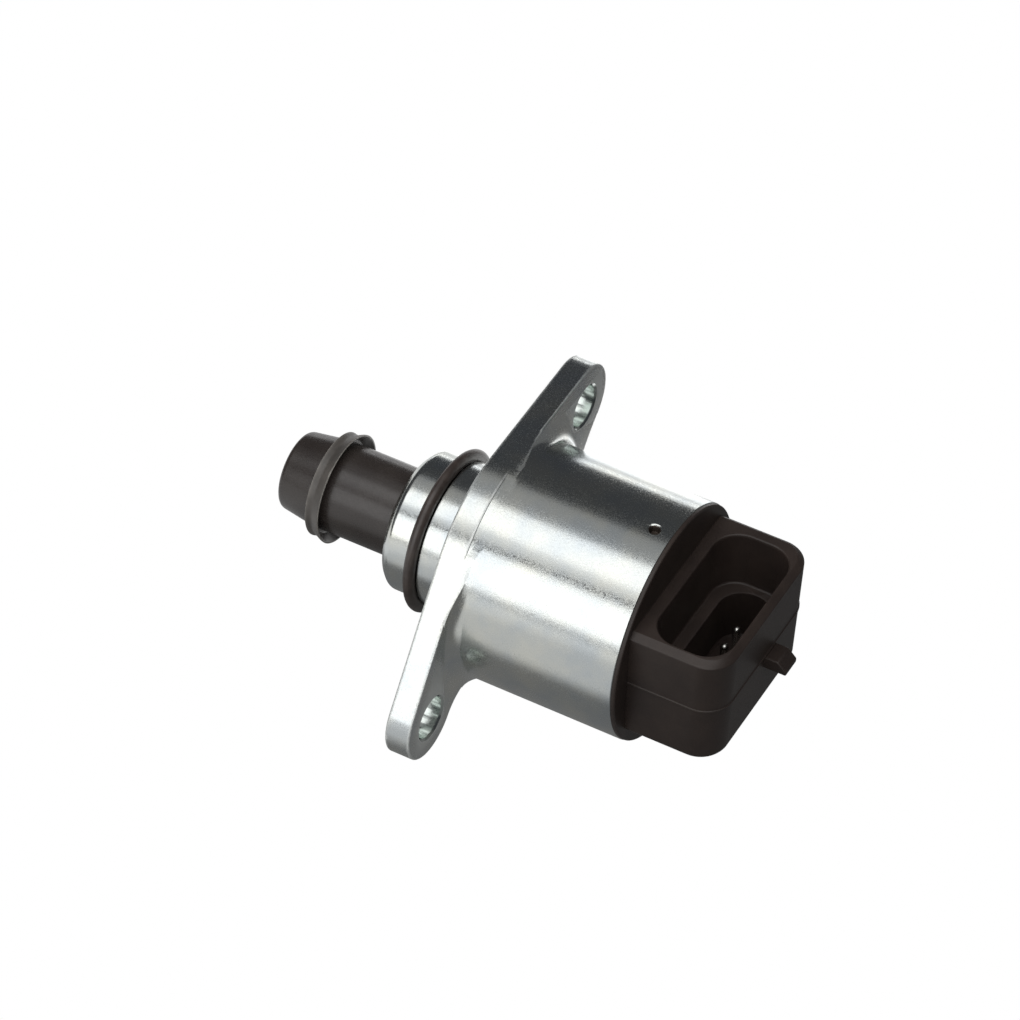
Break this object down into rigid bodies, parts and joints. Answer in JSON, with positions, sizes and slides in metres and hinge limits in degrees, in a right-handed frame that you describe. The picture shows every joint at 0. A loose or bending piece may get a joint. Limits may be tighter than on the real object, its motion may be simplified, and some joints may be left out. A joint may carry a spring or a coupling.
{
  "type": "idle air control valve",
  "caption": "Idle air control valve: a stepper motor in a flanged steel can moves a conical pintle in and out; side-facing plug socket at the rear.",
  "frame": {"origin": "midway between the two bolt holes on the flange's seating face; the valve's own axis runs 0.95 mm beside it, at y = +0.95 mm", "axes": "+X along the valve from the pintle to the connector, +Z the way the connector's mouth faces, +Y along the connector's long side"},
  "size_m": [0.0772, 0.0556, 0.0366],
  "materials": {
    "zinc_steel": "zinc plated, clear chromate, satin to bright",
    "stator_steel": "bare pressed steel",
    "bearing_steel": "ground",
    "screw_steel": "rolled thread",
    "spring_steel": "blue tempered",
    "black_nylon": "glass filled, satin",
    "pintle_plastic": "smooth moulded",
    "lip_plastic": "moulded",
    "bush_plastic": "moulded",
    "bobbin_plastic": "moulded",
    "seal_rubber": "smooth",
    "ferrite": "ground ceramic magnet",
    "bronze": "sintered, oiled",
    "copper_wire": "enamelled wire",
    "tinned_pin": "tin plated"
  },
  "bodies": {
    "housing": {"valve_housing": "zinc_steel", "spigot_seal_ring": "seal_rubber", "guide_bush": "bush_plastic", "key_sleeve": "bush_plastic", "bearing_outer_race": "bearing_steel", "pole_plate_1": "stator_steel", "pole_cup_1": "stator_steel", "bobbin_1": "bobbin_plastic", "winding_1": "copper_wire", "pole_plate_2": "stator_steel", "pole_cup_2": "stator_steel", "bobbin_2": "bobbin_plastic", "winding_2": "copper_wire", "rear_bush": "bronze", "wave_washer": "spring_steel", "cap_seal_ring": "seal_rubber", "terminal_1": "tinned_pin", "terminal_2": "tinned_pin", "terminal_3": "tinned_pin", "terminal_4": "tinned_pin", "connector_cap": "black_nylon"},
    "rotor": {"rotor_hub": "bush_plastic", "rotor_magnet": "ferrite", "bearing_inner_race": "bearing_steel"},
    "pintle": {"pintle": "pintle_plastic", "pintle_lip_ring": "lip_plastic", "lead_screw": "screw_steel"},
    "ball_set": {"bearing_balls": "bearing_steel", "bearing_cage": "bearing_steel"}
  },
  "joints": [
    {"name": "rotor_spin", "type": "hinge", "parent": "housing", "child": "rotor", "pos_m": [0.0145, 0.00095, 0], "axis": [1, 0, 0], "range_deg": [-1620, 1260]},
    {"name": "pintle_slide", "type": "slide", "parent": "housing", "child": "pintle", "axis": [1, 0, 0], "range_m": [-0.00351, 0.00451]},
    {"name": "ball_set_spin", "type": "hinge", "parent": "housing", "child": "ball_set", "pos_m": [0.0037, 0.00095, 0], "axis": [1, 0, 0], "range_deg": [-654.48, 509.04]}
  ],
  "couplings": [
    {"joint": "pintle_slide", "follows": "rotor_spin", "m_per_rad": -0.00015915}
  ]
}
